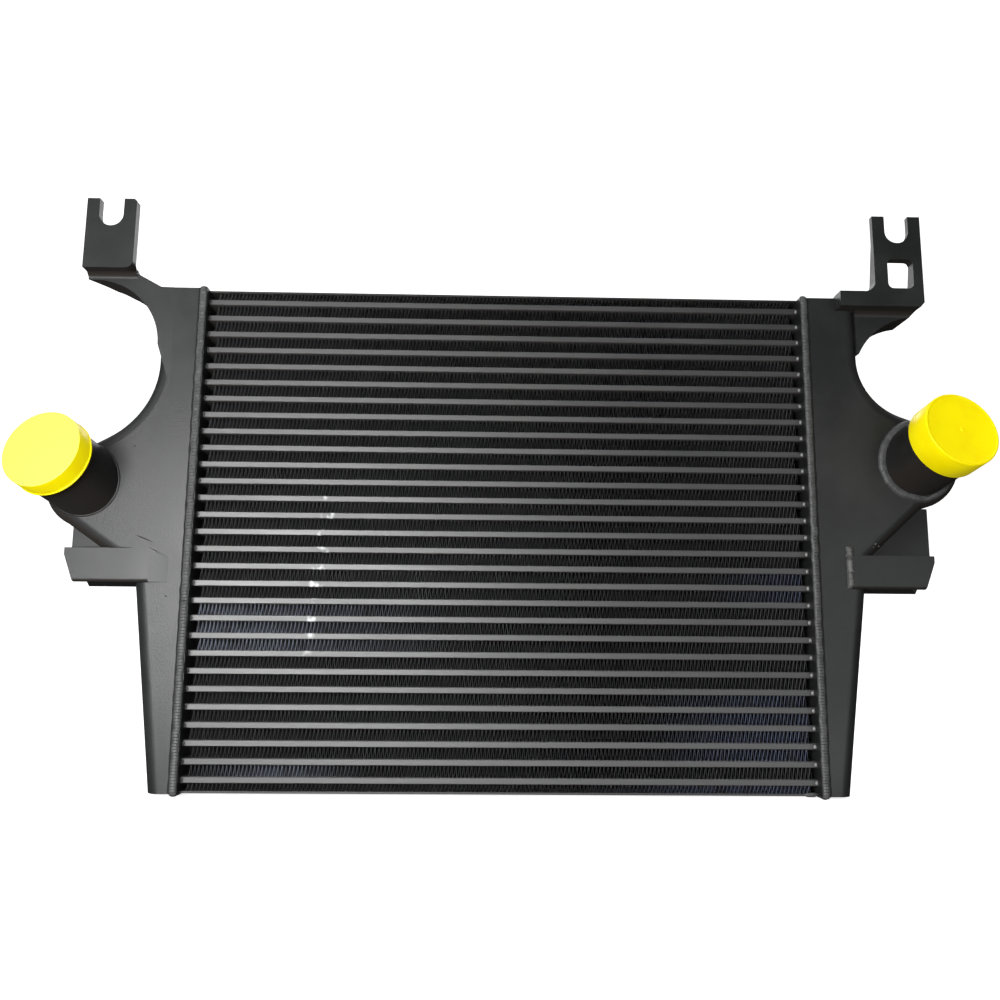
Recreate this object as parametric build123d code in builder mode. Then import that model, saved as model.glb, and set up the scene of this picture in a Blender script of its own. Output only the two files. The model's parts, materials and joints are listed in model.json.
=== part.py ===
"""Air-to-air charge cooler: a finned core between two cast end tanks with hose necks and mounting lugs.

Origin: middle of the core's underside. +X runs along the tubes, -Y faces the necks, +Z is up.
"""

import os
from dataclasses import dataclass
from math import cos, radians, sin, tan

from build123d import *

os.makedirs("parts", exist_ok=True)

# Core: flat tubes brazed into header plates, with corrugated fin strips between them.
core_width = 600.0
tube_count = 29
tube_depth = 57.0
tube_height = 6.0
tube_wall = 0.9
tube_edge = 0.7
tube_cells = 2
tube_stand = 3.0
fin_height = 10.7
end_fin_height = 7.0
fin_depth = 54.0
fin_end_gap = 5.0
fin_rows_per_pack = 3
side_plate_thickness = 2.0
header_thickness = 5.0
header_inset = 0.6
braze_gap = 0.05
touching = 0.01

# End tanks: one casting each, hollow, open towards the header plate.
tank_depth = 76.0
tank_wall = 4.5
tank_rounding = 13.0
tank_back_chamfer = 6.0
tank_foot_reach = 25.0
wall_lean = 0.127
flare_blend = 12.0
boss_blend = 12.0

left_wall_reach = 40.7
left_boss_radius = 42.0
left_boss_sink = 18.0
left_lower_flare = 34.5
left_lower_flare_offset = 41.4
left_upper_flare = 29.0
left_upper_flare_offset = 35.0
left_upper_blend = 86.0

right_wall_reach = 53.5
right_boss_radius = 45.0
right_boss_sink = 8.0
right_lower_flare = 42.7
right_lower_flare_offset = 36.4
right_upper_flare = 20.0
right_upper_flare_offset = 42.3
right_upper_blend = 62.0

# Hose necks, their push-on caps and the weld collars round them.
neck_outer_radius = 35.0
neck_wall = 3.0
neck_bead_height = 1.3
neck_bead_width = 3.0
neck_bead_setback = 5.0
neck_fit_gap = 0.05
neck_swing = 10.5
neck_length = 64.0
left_neck_reach = 104.5
left_neck_height = 294.7
left_neck_rise = 14.3
right_neck_reach = 107.4
right_neck_height = 323.6
right_neck_rise = 15.0
neck_weld_width = 5.0
neck_weld_height = 3.5
neck_weld_slope = 3.0

cap_wall = 1.2
cap_face_thickness = 1.5
cap_fit_gap = 0.1
cap_edge = 0.8
left_cap_length = 19.3
left_cap_flange_width = 0.8
left_cap_flange_thickness = 1.5
right_cap_length = 27.0
right_cap_rim_width = 4.0
right_cap_dish = 0.7
right_cap_gate_radius = 1.8

# Slotted lugs on the tanks' upper arms. Reaches are measured outwards from the header plate's outer face.
slot_width = 24.0
step_fillet = 6.0

left_lug_front = 56.0
left_lug_thickness = 9.0
left_lug_inner = 64.2
left_lug_width = 49.1
left_lug_bottom = 12.5
left_lug_height = 72.5
left_lug_step = 15.0
left_lug_corner = 8.0
left_lug_top_chamfer = 2.5
left_slot_offset = 24.5
left_slot_depth = 28.5
left_arch_radius = 65.3
left_arm_tip_height = 7.0
left_arm_root_blend = 42.0
left_arm_root_depth = 36.0
left_arm_tip_depth = 14.0
left_arm_tip_length = 24.0

right_lug_front = 54.0
right_lug_top_thickness = 6.0
right_lug_inner = 66.5
right_lug_width = 49.0
right_lug_top = 82.0
right_slot_offset = 24.5
right_slot_depth = 28.3
right_leg_inner = 30.5
right_leg_top = 2.0
right_leg_height = 15.5
right_leg_corner = 10.5
right_foot_cut = 10.0
right_arm_root_inset = 2.5
right_web_setback = 1.0
right_web_depth = 46.0
right_arch_drop = 58.0
right_arch_tip_inset = 8.5
right_arch_tip_drop = 19.0
right_arch_middle = (78.5, 29.5)
right_window_width = 25.9
right_window_height = 30.5
right_window_sill = 3.5
right_window_offset = 22.7
right_window_corner = 5.5

# Lower brackets: bent channels welded to the tanks' front and back faces.
bracket_thickness = 4.0
left_bracket_drop = 99.7
right_bracket_drop = 128.6
bracket_inner = 33.0
bracket_front_height = 32.5
bracket_front_reach = 114.0
bracket_front_foot = 104.5
bracket_front_toe = 26.0
bracket_web_front_reach = 92.0
bracket_bend = 3.4
left_bracket_rear_height = 66.0
left_bracket_rear_reach = 143.0
left_bracket_rear_foot = 122.0
right_bracket_rear_height = 91.0
right_bracket_rear_reach = 150.0
right_bracket_rear_foot = 132.0
bracket_rear_toe = 40.0
bracket_weld_half_width = 5.0
bracket_weld_height = 5.2

# Weld bead all round each tank's rim.
rim_weld_width = 7.0
rim_weld_height = 3.0
rim_weld_slope = 2.0

# Levels and places worked out from the sizes above.
tube_pitch = tube_height + fin_height
tube_length = core_width + 2 * (header_thickness + tube_stand)
first_tube_level = side_plate_thickness + end_fin_height + tube_height / 2
last_tube_level = first_tube_level + (tube_count - 1) * tube_pitch
core_height = last_tube_level + tube_height / 2 + end_fin_height + side_plate_thickness
fin_length = core_width - 2 * fin_end_gap
rim = core_width / 2 + header_thickness
tank_bottom = header_inset
tank_top = core_height - header_inset
tank_front = tank_depth / 2
neck_bore = neck_outer_radius - neck_wall
neck_socket_radius = neck_outer_radius + neck_fit_gap
cap_bore_radius = neck_outer_radius + neck_bead_height + cap_fit_gap
cap_radius = cap_bore_radius + cap_wall
cap_seat = neck_length + cap_fit_gap
cap_face = cap_seat + cap_face_thickness


def tube_level(index):
    """Height of a tube's middle, counted from the bottom tube."""
    return first_tube_level + index * tube_pitch


def finish(piece, name):
    """Label a finished piece and write it."""
    piece.part.label = name
    export_step(piece.part, f"parts/{name}.step")


def across_core(x, z=0.0):
    """Plane across the tubes, with depth as its first direction and height as its second."""
    return Plane(origin=(x, 0, z), x_dir=(0, 1, 0), z_dir=(1, 0, 0))


# --- Core ---------------------------------------------------------------------------------------

tube_cell_pitch = (tube_depth - tube_wall) / tube_cells
for index in range(tube_count):
    with BuildPart() as tube:
        with BuildSketch(across_core(-tube_length / 2, tube_level(index))) as tube_section:
            Rectangle(tube_depth, tube_height)
            chamfer(tube_section.vertices(), tube_edge)
            with GridLocations(tube_cell_pitch, 0, tube_cells, 1):
                Rectangle(tube_cell_pitch - tube_wall, tube_height - 2 * tube_wall, mode=Mode.SUBTRACT)
        extrude(amount=tube_length)
    finish(tube, f"tube_{index + 1:02d}")

# Fin strips lie between the tubes; the outermost two, against the side plates, are lower.
fin_rows = [(side_plate_thickness, end_fin_height)]
fin_rows += [(tube_level(index) + tube_height / 2, fin_height) for index in range(tube_count - 1)]
fin_rows += [(tube_level(tube_count - 1) + tube_height / 2, end_fin_height)]
for first in range(0, len(fin_rows), fin_rows_per_pack):
    with BuildPart() as fin_pack:
        for bottom, height in fin_rows[first : first + fin_rows_per_pack]:
            with BuildSketch(Plane.XY.offset(bottom)):
                Rectangle(fin_length, fin_depth)
            extrude(amount=height)
    finish(fin_pack, f"fin_pack_{first // fin_rows_per_pack + 1:02d}")

for name, level in (
    ("bottom_side_plate", 0.0),
    ("top_side_plate", core_height - side_plate_thickness),
):
    with BuildPart() as side_plate:
        with BuildSketch(Plane.XY.offset(level)):
            Rectangle(core_width, tube_depth)
        extrude(amount=side_plate_thickness)
    finish(side_plate, name)


def header_plate(side):
    """Plate that takes the tube ends, flush with the tank's outside."""
    with BuildPart() as plate:
        with BuildSketch(across_core(side * core_width / 2)):
            with Locations((0, (tank_bottom + tank_top) / 2)):
                Rectangle(tank_depth, tank_top - tank_bottom)
            with Locations([(0, tube_level(index)) for index in range(tube_count)]):
                Rectangle(tube_depth + 2 * braze_gap, tube_height + 2 * braze_gap, mode=Mode.SUBTRACT)
        extrude(amount=side * header_thickness)
    return plate


def rim_weld(side):
    """Weld bead that runs round the header plate's edge and laps onto the tank."""
    with BuildPart() as bead:
        with BuildSketch(across_core(side * core_width / 2, (tank_bottom + tank_top) / 2)):
            Rectangle(tank_depth + 2 * rim_weld_height, tank_top - tank_bottom + 2 * rim_weld_height)
        extrude(amount=side * rim_weld_width)
        fillet(bead.edges().filter_by(Axis.X), rim_weld_height)
        chamfer(bead.faces().filter_by(Axis.X).edges(), rim_weld_slope)
        with BuildSketch(across_core(side * core_width / 2, (tank_bottom + tank_top) / 2)):
            Rectangle(tank_depth, tank_top - tank_bottom)
        extrude(amount=side * rim_weld_width, mode=Mode.SUBTRACT)
    return bead


# --- Necks and caps -----------------------------------------------------------------------------


def neck_axis(side, reach, height, rise):
    """Axis of a hose neck, from the middle of its opening in the tank's front face outwards."""
    swing, lift = radians(neck_swing), radians(rise)
    base = (side * (rim + reach), -tank_front, height)
    direction = (side * sin(swing) * cos(lift), -cos(swing) * cos(lift), sin(lift))
    return Axis(base, direction)


def along(axis, depth):
    """Front-view place (x, z) where the axis passes, that far behind the tank's front face."""
    point = axis.position + axis.direction * (depth / axis.direction.Y)
    return point.X, point.Z


def half_section(axis):
    """Plane through a neck's axis: radius is its first direction, distance along the axis its second."""
    radial = axis.direction.cross(Vector(0, 0, 1)).normalized()
    return Plane(origin=axis.position, x_dir=radial, z_dir=radial.cross(axis.direction))


def hose_neck(axis):
    """Tube that ends just inside the tank's front wall, with a hose bead near its outer end."""
    bead = neck_length - neck_bead_setback
    root = -(tank_rounding + tank_wall)
    with BuildPart() as neck:
        with BuildSketch(half_section(axis)):
            with BuildLine():
                Polyline(
                    (neck_bore, root), (neck_outer_radius, root),
                    (neck_outer_radius, bead - neck_bead_width),
                    (neck_outer_radius + neck_bead_height, bead - neck_bead_width / 2),
                    (neck_outer_radius, bead), (neck_outer_radius, neck_length), (neck_bore, neck_length),
                    close=True,
                )
            make_face()
        revolve(axis=axis)
    return neck


def flanged_cap(axis):
    """Push-on cap with a flat face and a thin flange round its open end."""
    open_end = cap_face - left_cap_length
    flange_radius = cap_radius + left_cap_flange_width
    with BuildPart() as push_cap:
        with BuildSketch(half_section(axis)) as section:
            with BuildLine():
                Polyline(
                    (0, cap_seat), (cap_bore_radius, cap_seat), (cap_bore_radius, open_end),
                    (flange_radius, open_end), (flange_radius, open_end + left_cap_flange_thickness),
                    (cap_radius, open_end + left_cap_flange_thickness), (cap_radius, cap_face),
                    (0, cap_face), close=True,
                )
            make_face()
            chamfer(section.vertices().sort_by_distance((cap_radius, cap_face))[0], cap_edge)
        revolve(axis=axis)
    return push_cap


def dished_cap(axis):
    """Longer push-on cap: its face is dished inside a rim, with its moulding gate's stub in the middle."""
    open_end = cap_face - right_cap_length
    dish = cap_face - right_cap_dish
    dish_radius = cap_radius - right_cap_rim_width
    with BuildPart() as push_cap:
        with BuildSketch(half_section(axis)) as section:
            with BuildLine():
                Polyline(
                    (0, cap_seat), (cap_bore_radius, cap_seat), (cap_bore_radius, open_end),
                    (cap_radius, open_end), (cap_radius, cap_face), (dish_radius, cap_face),
                    (dish_radius - right_cap_dish, dish), (right_cap_gate_radius, dish),
                    (right_cap_gate_radius, cap_face), (0, cap_face), close=True,
                )
            make_face()
            chamfer(section.vertices().sort_by_distance((cap_radius, cap_face))[0], cap_edge)
        revolve(axis=axis)
    return push_cap


# --- End tanks ----------------------------------------------------------------------------------


@dataclass
class TankShape:
    """Sizes that differ between castings. A flare is its angle from level and its offset from the boss."""

    side: int
    neck: Axis
    wall_reach: float
    boss_sink: float
    boss_radius: float
    lower_flare: tuple
    upper_flare: tuple
    upper_blend: float


left_shape = TankShape(
    -1, neck_axis(-1, left_neck_reach, left_neck_height, left_neck_rise),
    left_wall_reach, left_boss_sink, left_boss_radius,
    (left_lower_flare, left_lower_flare_offset), (left_upper_flare, left_upper_flare_offset),
    left_upper_blend,
)
right_shape = TankShape(
    1, neck_axis(1, right_neck_reach, right_neck_height, right_neck_rise),
    right_wall_reach, right_boss_sink, right_boss_radius,
    (right_lower_flare, right_lower_flare_offset), (right_upper_flare, right_upper_flare_offset),
    right_upper_blend,
)


def tank_outline(shape, mouth):
    """Front outline of a tank's body: leaning lower wall, flares to the round boss, upright upper wall."""
    boss = along(shape.neck, shape.boss_sink)
    boss_u, boss_z = abs(boss[0]), boss[1]
    foot, wall = rim + tank_foot_reach, rim + shape.wall_reach
    lower_slope, upper_slope = radians(shape.lower_flare[0]), radians(shape.upper_flare[0])
    lower_offset, upper_offset = shape.lower_flare[1], shape.upper_flare[1]
    lower_end = (boss_u + lower_offset * sin(lower_slope), boss_z - lower_offset * cos(lower_slope))
    upper_end = (boss_u + upper_offset * sin(upper_slope), boss_z + upper_offset * cos(upper_slope))
    lower_rise = (foot - lower_end[0]) * tan(lower_slope) + lower_end[1]
    lower_corner_z = lower_rise / (1 - wall_lean * tan(lower_slope))
    lower_corner = (foot + wall_lean * lower_corner_z, lower_corner_z)
    upper_corner = (wall, upper_end[1] + (upper_end[0] - wall) * tan(upper_slope))
    corners = [
        (mouth, tank_bottom), (foot + wall_lean * tank_bottom, tank_bottom), lower_corner, lower_end,
        (boss_u, boss_z), upper_end, upper_corner, (wall, tank_top), (mouth, tank_top),
    ]
    with BuildSketch(Plane.XZ) as outline:
        with BuildLine():
            Polyline([(shape.side * u, z) for u, z in corners], close=True)
        make_face()
        with Locations(boss):
            Circle(shape.boss_radius)
        on_boss = [
            v for v in outline.vertices()
            if abs((Vector(*v) - Vector(*boss)).length - shape.boss_radius) < touching
        ]
        fillet(on_boss, boss_blend)
        for (u, z), blend in ((upper_corner, shape.upper_blend), (lower_corner, flare_blend)):
            fillet(outline.vertices().sort_by_distance((shape.side * u, z))[0], blend)
    return outline.sketch


def cast_tank(shape, arm):
    """Hollow casting: rounded in front, chamfered behind, open to the header, bored for the neck."""
    with BuildPart() as tank:
        with BuildSketch(Plane.XZ.offset(tank_front)):
            add(tank_outline(shape, rim))
        extrude(amount=-tank_depth)
        square_edges = ((rim, "X"), (tank_bottom, "Z"), (tank_top, "Z"))
        for way, soften, size in ((-1, fillet, tank_rounding), (1, chamfer, tank_back_chamfer)):
            outer_edges = [
                edge for edge in tank.faces().filter_by(Axis.Y).edges()
                if way * (edge @ 0.5).Y > 0
                and all(abs(abs(getattr(edge @ 0.5, axis)) - place) > touching for place, axis in square_edges)
            ]
            soften(outer_edges, size)
        add(arm)
        with BuildSketch(Plane.XZ.offset(tank_front - tank_wall)):
            add(offset(tank_outline(shape, rim - tank_wall), amount=-tank_wall, mode=Mode.PRIVATE))
        extrude(amount=2 * tank_wall - tank_depth, mode=Mode.SUBTRACT)
        with BuildSketch(Plane(origin=shape.neck.position, z_dir=shape.neck.direction)):
            Circle(neck_socket_radius)
        extrude(amount=tank_rounding + tank_wall, both=True, mode=Mode.SUBTRACT)
    return tank


def places(side, points):
    """Front-view places from reaches beyond the header plate's outer face, and heights."""
    return [(side * (rim + reach), z) for reach, z in points]


def cut_slot(side, reach, top, depth):
    """U-shaped slot, open upwards, in the lug's face."""
    with Locations(places(side, [(reach, top - depth + slot_width / 2)])):
        Circle(slot_width / 2, mode=Mode.SUBTRACT)
        Rectangle(slot_width, depth, align=(Align.CENTER, Align.MIN), mode=Mode.SUBTRACT)


# Left arm: a web that arches out of the tank and carries the slotted lug on its front.
left_lug_outer = left_lug_inner + left_lug_width
left_lug_foot = tank_top + left_lug_bottom
left_lug_top = left_lug_foot + left_lug_height
left_arch_top = left_lug_foot - left_arm_tip_height
left_arch_foot = left_arch_top - left_arch_radius
left_root_foot = left_arch_foot - left_arm_root_blend
left_web_front = left_lug_front - left_lug_step
left_root = left_wall_reach - tank_rounding - 1
arc_middle = left_arch_radius * (1 - cos(radians(45)))
with BuildPart() as left_arm:
    with BuildSketch(Plane.XZ.offset(left_lug_front)) as left_arm_face:
        with BuildLine():
            Polyline(places(-1, [
                (left_wall_reach, left_arch_foot), (left_root, left_root_foot), (left_root, tank_top),
                (left_wall_reach, tank_top), (left_lug_inner, left_lug_foot),
                (left_lug_inner, left_lug_top), (left_lug_outer, left_lug_top),
                (left_lug_outer, left_arch_top),
                (left_wall_reach + left_arch_radius, left_arch_top),
            ]))
            ThreePointArc(*places(-1, [
                (left_wall_reach + left_arch_radius, left_arch_top),
                (left_wall_reach + arc_middle, left_arch_top - arc_middle),
                (left_wall_reach, left_arch_foot),
            ]))
        make_face()
        top_corner = places(-1, [(left_lug_inner, left_lug_top)])[0]
        chamfer(left_arm_face.vertices().sort_by_distance(top_corner)[0], left_lug_top_chamfer)
        cut_slot(-1, left_lug_outer - left_slot_offset, left_lug_top, left_slot_depth)
    extrude(amount=-left_lug_front)
    with BuildSketch(Plane.YZ.offset(-rim - left_lug_outer)) as left_arm_side:
        with BuildLine():
            Polyline(
                (-left_lug_front, left_lug_foot), (-left_lug_front, left_lug_top),
                (left_lug_thickness - left_lug_front, left_lug_top),
                (left_lug_thickness - left_lug_front, left_lug_foot + step_fillet),
                (0, tank_top), (0, left_root_foot),
                (-left_web_front, left_root_foot), (-left_web_front, left_lug_foot), close=True,
            )
        make_face()
        step_corner = left_arm_side.vertices().sort_by_distance((-left_web_front, left_lug_foot))[0]
        fillet(step_corner, step_fillet)
    extrude(amount=left_lug_outer, mode=Mode.INTERSECT)
    with BuildSketch(Plane.XY.offset(left_root_foot)):
        with BuildLine():
            Polyline([(-rim - reach, y) for reach, y in (
                (left_root, -tank_front), (left_lug_inner, -left_web_front),
                (left_lug_inner, -left_lug_front), (left_lug_outer, -left_lug_front),
                (left_lug_outer, left_arm_tip_depth - left_lug_front),
                (left_lug_outer - left_arm_tip_length, left_arm_root_depth - tank_front),
                (left_root, left_arm_root_depth - tank_front),
            )], close=True)
        make_face()
    extrude(amount=left_lug_top - left_root_foot, mode=Mode.INTERSECT)
    with BuildSketch(Plane.XZ.offset(left_lug_front)):
        with Locations(places(-1, [(left_lug_inner + left_lug_corner, left_lug_foot + left_lug_corner)])):
            Rectangle(left_lug_corner, left_lug_corner, align=(Align.MIN, Align.MAX))
            Circle(left_lug_corner, mode=Mode.SUBTRACT)
    extrude(amount=-left_lug_step, mode=Mode.SUBTRACT)

# Right arm: an L of two legs, the upright one slotted and windowed, on a set-back web.
right_lug_outer = right_lug_inner + right_lug_width
right_lug_level = tank_top + right_lug_top
right_leg_level = tank_top + right_leg_top
right_leg_foot = right_leg_level - right_leg_height
right_arch_foot = tank_top - right_arch_drop
right_root = right_wall_reach - right_arm_root_inset
right_web_front = tank_front - right_web_setback
right_arch_tip = (right_lug_outer - right_arch_tip_inset, tank_top - right_arch_tip_drop)
with BuildPart() as right_arm:
    with BuildSketch(Plane.XZ.offset(right_lug_front)) as right_arm_face:
        with BuildLine():
            Polyline(places(1, [
                (right_wall_reach, right_arch_foot), (right_root, right_arch_foot),
                (right_root, right_leg_foot), (right_leg_inner, right_leg_foot),
                (right_leg_inner, right_leg_level), (right_lug_inner, right_leg_level),
                (right_lug_inner, right_lug_level), (right_lug_outer, right_lug_level),
                (right_lug_outer, right_arch_tip[1] + right_foot_cut), right_arch_tip,
            ]))
            ThreePointArc(*places(1, [
                right_arch_tip, (right_arch_middle[0], tank_top - right_arch_middle[1]),
                (right_wall_reach, right_arch_foot),
            ]))
        make_face()
        leg_corner = places(1, [(right_lug_inner, right_leg_level)])[0]
        fillet(right_arm_face.vertices().sort_by_distance(leg_corner)[0], right_leg_corner)
        cut_slot(1, right_lug_outer - right_slot_offset, right_lug_level, right_slot_depth)
        window_middle = right_leg_level + right_window_sill + right_window_height / 2
        with Locations(places(1, [(right_lug_outer - right_window_offset, window_middle)])):
            RectangleRounded(
                right_window_width, right_window_height, right_window_corner, mode=Mode.SUBTRACT
            )
    extrude(amount=-right_lug_front)
    with BuildSketch(Plane.YZ.offset(rim + right_leg_inner)) as right_arm_side:
        with BuildLine():
            Polyline(
                (-right_lug_front, right_leg_foot), (-right_lug_front, right_lug_level),
                (right_lug_top_thickness - right_lug_front, right_lug_level),
                (right_lug_top_thickness - right_lug_front, right_lug_level - right_slot_depth),
                (-tank_front, right_leg_level), (right_web_depth - right_web_front, right_leg_foot),
                (right_web_depth - right_web_front, right_arch_foot),
                (-right_web_front, right_arch_foot),
                (-right_web_front, right_leg_foot), close=True,
            )
        make_face()
        step_corner = right_arm_side.vertices().sort_by_distance((-right_web_front, right_leg_foot))[0]
        fillet(step_corner, step_fillet)
    extrude(amount=right_lug_outer - right_leg_inner, mode=Mode.INTERSECT)

left_tank = cast_tank(left_shape, left_arm.part)
right_tank = cast_tank(right_shape, right_arm.part)
finish(left_tank, "left_tank")
finish(right_tank, "right_tank")


def neck_weld(axis, tank):
    """Weld collar between the neck and the tank's front face, filling the rounding beside it."""
    across = Plane(origin=axis.position, z_dir=axis.direction)
    with BuildPart() as collar:
        with BuildSketch(across):
            Circle(neck_socket_radius + neck_weld_width)
        extrude(amount=neck_outer_radius, both=True)
        with BuildSketch(Plane.XZ.offset(tank_front + neck_weld_height)):
            with Locations((axis.position.X, axis.position.Z)):
                Circle(2 * neck_outer_radius)
        extrude(amount=-(neck_weld_height + tank_wall), mode=Mode.INTERSECT)
        chamfer(collar.faces().sort_by(Axis.Y)[0].edges(), neck_weld_slope)
        with BuildSketch(across):
            Circle(neck_socket_radius)
        extrude(amount=neck_outer_radius, both=True, mode=Mode.SUBTRACT)
        add(tank.part, mode=Mode.SUBTRACT)
    return collar


for name, shape in (("left", left_shape), ("right", right_shape)):
    finish(header_plate(shape.side), f"{name}_header_plate")
    finish(rim_weld(shape.side), f"{name}_rim_weld")

with BuildPart() as hose_necks:
    add([hose_neck(shape.neck).part for shape in (left_shape, right_shape)])
finish(hose_necks, "hose_necks")
with BuildPart() as neck_welds:
    add([neck_weld(left_shape.neck, left_tank).part, neck_weld(right_shape.neck, right_tank).part])
finish(neck_welds, "neck_welds")
with BuildPart() as neck_caps:
    add([flanged_cap(left_shape.neck).part, dished_cap(right_shape.neck).part])
finish(neck_caps, "neck_caps")

# --- Lower brackets -----------------------------------------------------------------------------


def lower_bracket(side, level, rear_height, rear_reach, rear_foot):
    """Channel bent from one strip: front plate, bottom web butted to the tank's wall, taller rear plate."""
    web_root = tank_foot_reach + wall_lean * (level + bracket_thickness) + braze_gap
    outer_face = tank_front + bracket_thickness
    plates = (
        (outer_face, bracket_front_height, bracket_front_reach, bracket_front_foot, bracket_front_toe),
        (-tank_front, rear_height, rear_reach, rear_foot, bracket_rear_toe),
    )
    with BuildPart() as bracket:
        for face, height, reach, foot, toe in plates:
            with BuildSketch(Plane.XZ.offset(face)):
                with BuildLine():
                    Polyline(places(side, [
                        (bracket_inner, level), (foot, level), (reach, level + toe),
                        (reach, level + height), (bracket_inner, level + height),
                    ]), close=True)
                make_face()
            extrude(amount=-bracket_thickness)
        with BuildSketch(Plane.XY.offset(level)):
            with BuildLine():
                Polyline([(side * (rim + reach), y) for reach, y in (
                    (web_root, -tank_front), (bracket_web_front_reach, -tank_front),
                    (rear_foot, tank_front), (web_root, tank_front),
                )], close=True)
            make_face()
        extrude(amount=bracket_thickness)
        bends = [
            edge for edge in bracket.edges().filter_by(Axis.X)
            if abs(abs((edge @ 0.5).Y) - outer_face) < touching and abs((edge @ 0.5).Z - level) < touching
        ]
        fillet(bends, bracket_bend)
    return bracket


def bracket_beads(side, level, rear_height):
    """Two upright beads that close the inner edges of a bracket's plates onto the tank."""
    edge = side * (rim + bracket_inner)
    with BuildPart() as beads:
        for way, height in ((-1, bracket_front_height), (1, rear_height)):
            with BuildSketch(Plane.XY.offset(level)):
                with Locations((edge, way * tank_front)):
                    Ellipse(bracket_weld_half_width, bracket_weld_height)
                Rectangle(4 * rim, tank_depth, mode=Mode.SUBTRACT)
                plate = (edge + side * bracket_weld_half_width, way * (tank_front + bracket_thickness / 2))
                with Locations(plate):
                    Rectangle(2 * bracket_weld_half_width, bracket_thickness, mode=Mode.SUBTRACT)
            extrude(amount=height)
    return beads


left_bracket_level = left_neck_height - left_bracket_drop
right_bracket_level = right_neck_height - right_bracket_drop
left_bracket = lower_bracket(
    -1, left_bracket_level, left_bracket_rear_height, left_bracket_rear_reach, left_bracket_rear_foot
)
right_bracket = lower_bracket(
    1, right_bracket_level, right_bracket_rear_height, right_bracket_rear_reach, right_bracket_rear_foot
)
finish(left_bracket, "left_lower_bracket")
finish(right_bracket, "right_lower_bracket")
with BuildPart() as bracket_welds:
    add([
        bracket_beads(-1, left_bracket_level, left_bracket_rear_height).part,
        bracket_beads(1, right_bracket_level, right_bracket_rear_height).part,
    ])
finish(bracket_welds, "bracket_welds")
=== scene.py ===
"""Looks of the charge air cooler: a black core of flat tubes and corrugated fins between two cast end
tanks, with two capped hose necks, slotted lugs and lower brackets. Metres, in the frame of the CAD."""

import json
from math import cos, pi, radians, sin

import bmesh
import bpy
from mathutils import Matrix, Vector, noise
from mathutils.bvhtree import BVHTree


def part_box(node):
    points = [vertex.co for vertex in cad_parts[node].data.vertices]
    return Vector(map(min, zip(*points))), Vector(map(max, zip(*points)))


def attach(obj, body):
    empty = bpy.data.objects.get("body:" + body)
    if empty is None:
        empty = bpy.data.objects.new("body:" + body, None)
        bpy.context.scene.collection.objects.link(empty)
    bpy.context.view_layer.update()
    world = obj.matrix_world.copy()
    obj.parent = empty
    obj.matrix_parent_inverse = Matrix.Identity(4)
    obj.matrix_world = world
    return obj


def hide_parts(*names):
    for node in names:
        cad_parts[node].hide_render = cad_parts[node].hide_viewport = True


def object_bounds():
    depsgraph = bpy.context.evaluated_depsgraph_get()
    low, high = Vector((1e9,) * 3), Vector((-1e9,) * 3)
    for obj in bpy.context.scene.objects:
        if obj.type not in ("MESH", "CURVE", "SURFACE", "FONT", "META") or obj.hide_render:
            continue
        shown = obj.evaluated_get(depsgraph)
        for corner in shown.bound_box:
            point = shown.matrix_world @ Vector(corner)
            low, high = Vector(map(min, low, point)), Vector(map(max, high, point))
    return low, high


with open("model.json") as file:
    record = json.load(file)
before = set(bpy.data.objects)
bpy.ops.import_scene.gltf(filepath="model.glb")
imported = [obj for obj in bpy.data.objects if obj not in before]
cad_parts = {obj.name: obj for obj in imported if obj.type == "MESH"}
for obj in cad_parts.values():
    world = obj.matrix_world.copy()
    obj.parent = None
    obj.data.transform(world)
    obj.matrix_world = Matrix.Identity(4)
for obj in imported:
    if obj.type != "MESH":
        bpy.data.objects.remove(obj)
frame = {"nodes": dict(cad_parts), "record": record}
cad_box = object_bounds()


# --- Flat tubes ----------------------------------------------------------------------------------
# Twenty-nine flat aluminium tubes carry the charge air, brazed in and sprayed satin black with the
# whole cooler, which leaves faint runs along each tube. The paint has small dark chips. At the upper
# left a slanted line of pale spots on the tubes' fronts is a painted highlight, glints of a lamp.


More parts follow.
